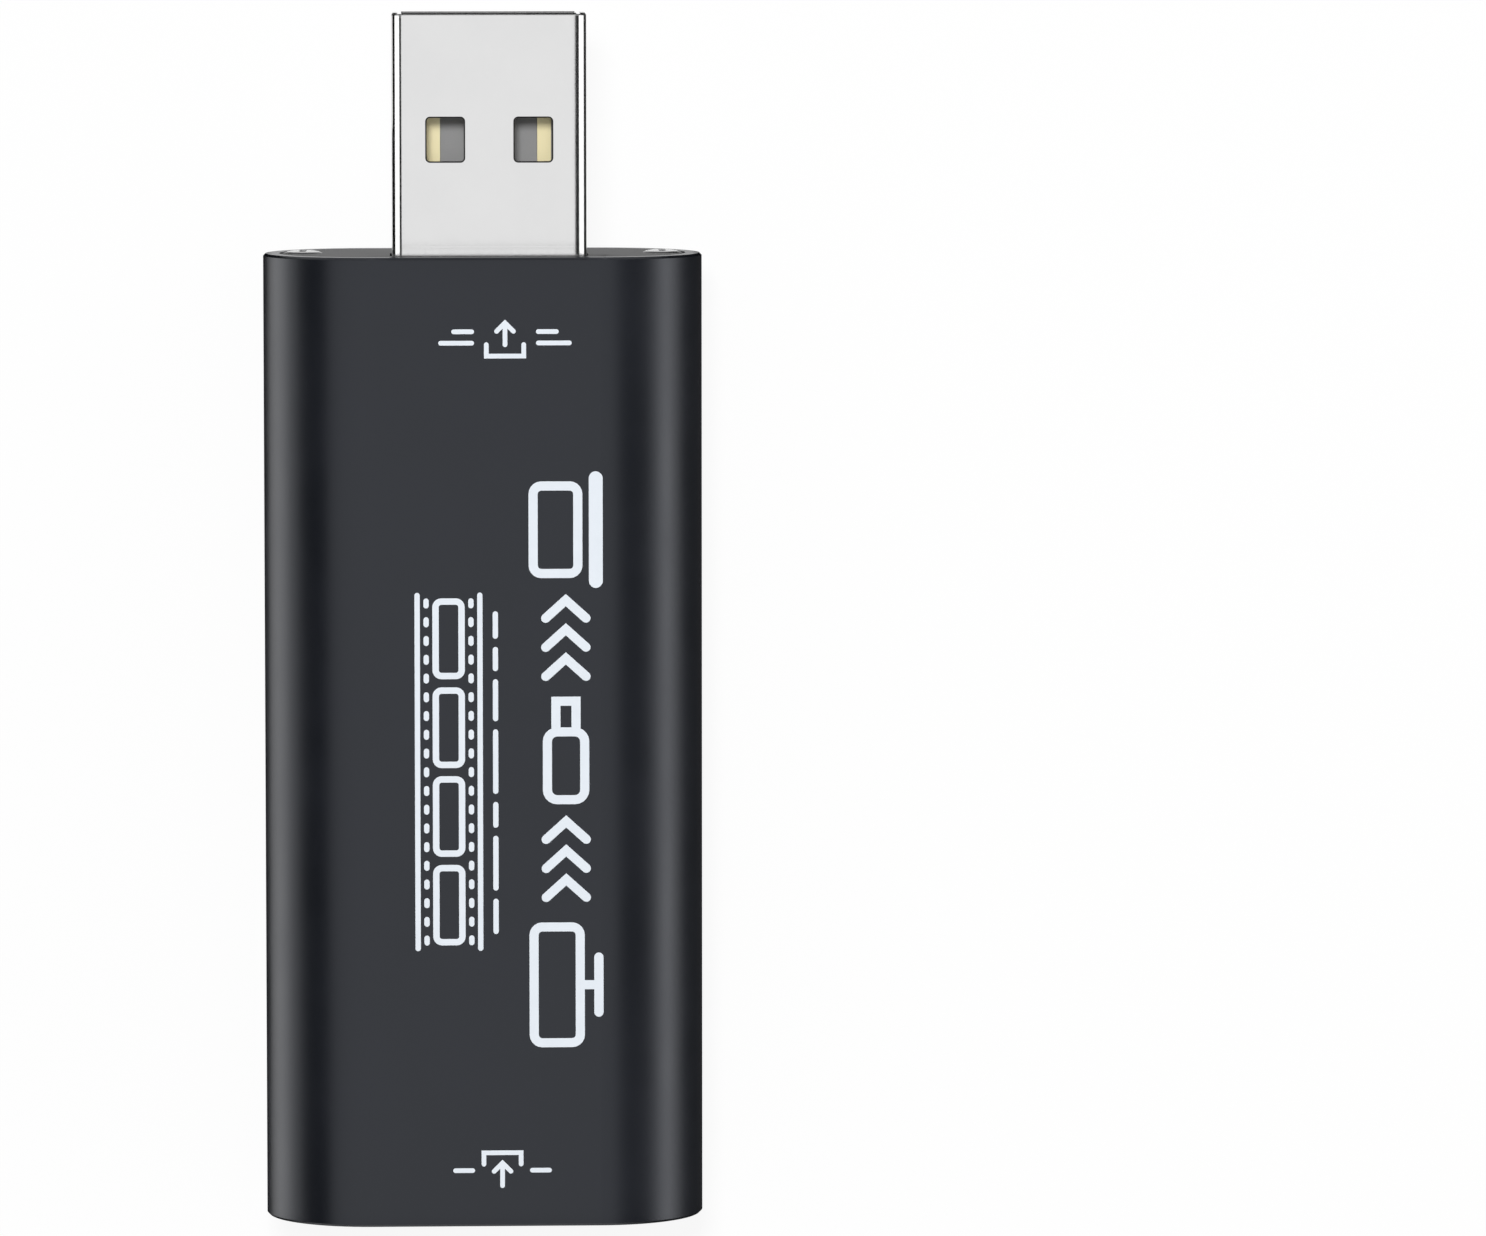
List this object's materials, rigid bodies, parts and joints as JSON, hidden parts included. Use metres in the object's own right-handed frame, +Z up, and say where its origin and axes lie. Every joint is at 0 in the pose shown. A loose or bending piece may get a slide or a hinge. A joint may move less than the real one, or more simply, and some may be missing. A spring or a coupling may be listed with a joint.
{
  "type": "video capture stick",
  "caption": "Flat black metal stick with rounded sides, a computer plug at one end and a video input socket at the other, for recording video from a screen or camera.",
  "frame": {"origin": "middle of the underside of the whole object, lying on its back", "axes": "+X across the width, +Y along the length towards the plug, +Z up out of the printed front face"},
  "size_m": [0.0272, 0.0752, 0.013],
  "materials": {
    "black_anodised": "fine satin black anodising",
    "black_plate": "satin black",
    "screw_steel": "bright plated",
    "plug_nickel": "smooth bright nickel",
    "grey_moulding": "moulded grey plastic",
    "gold_plate": "thin pale gold plating",
    "socket_nickel": "nickel plated sheet",
    "black_moulding": "moulded black plastic",
    "board_lacquer": "green lacquer over glass fibre",
    "chip_moulding": "matte black resin",
    "tinned_metal": "tin plated",
    "ferrite": "dark grey ceramic with tinned ends",
    "capacitor_ceramic": "tan ceramic with tinned ends"
  },
  "bodies": {
    "root": {"housing": "black_anodised", "plug_end_plate": "black_plate", "socket_end_plate": "black_plate", "plug_end_screws": "screw_steel", "socket_end_screws": "screw_steel", "plug_shell": "plug_nickel", "plug_insulator": "grey_moulding", "plug_contact_power": "gold_plate", "plug_contact_data_minus": "gold_plate", "plug_contact_data_plus": "gold_plate", "plug_contact_ground": "gold_plate", "socket_shell": "socket_nickel", "socket_insulator": "black_moulding", "socket_upper_contacts": "gold_plate", "socket_lower_contacts": "gold_plate", "circuit_board": "board_lacquer", "capture_chip": "chip_moulding", "memory_chip": "chip_moulding", "memory_chip_leads": "tinned_metal", "crystal": "tinned_metal", "voltage_regulators": "chip_moulding", "regulator_leads": "tinned_metal", "surge_arrays": "chip_moulding", "ferrite_beads": "ferrite", "capacitors": "capacitor_ceramic", "resistors": "chip_moulding"}
  },
  "joints": []
}
